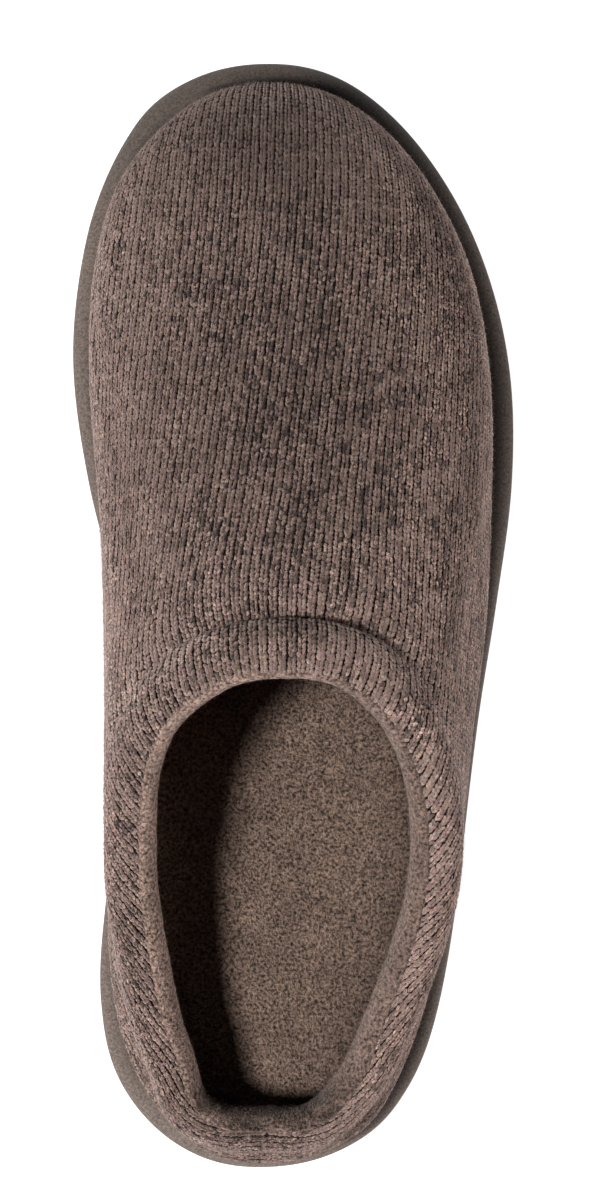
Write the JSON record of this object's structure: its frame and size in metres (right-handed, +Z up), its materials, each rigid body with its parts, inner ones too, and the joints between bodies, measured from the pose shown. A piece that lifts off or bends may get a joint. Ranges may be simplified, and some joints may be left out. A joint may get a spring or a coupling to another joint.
{
  "type": "clog slipper",
  "caption": "Low-backed house slipper for the right foot: padded knit upper with a rolled collar, fleece footbed and a moulded rubber sole with a raised toe.",
  "frame": {"origin": "on the floor, under the middle of the sole's length and width", "axes": "+Z up, +Y from heel to toe, +X towards the outer side of the right foot"},
  "size_m": [0.116, 0.29, 0.0779],
  "materials": {
    "sole_rubber": "matt, suede-grained",
    "insole_fleece": "napped fleece",
    "upper_knit": "marled plain knit"
  },
  "bodies": {
    "root": {"outsole": "sole_rubber", "insole": "insole_fleece", "upper": "upper_knit"}
  },
  "joints": []
}
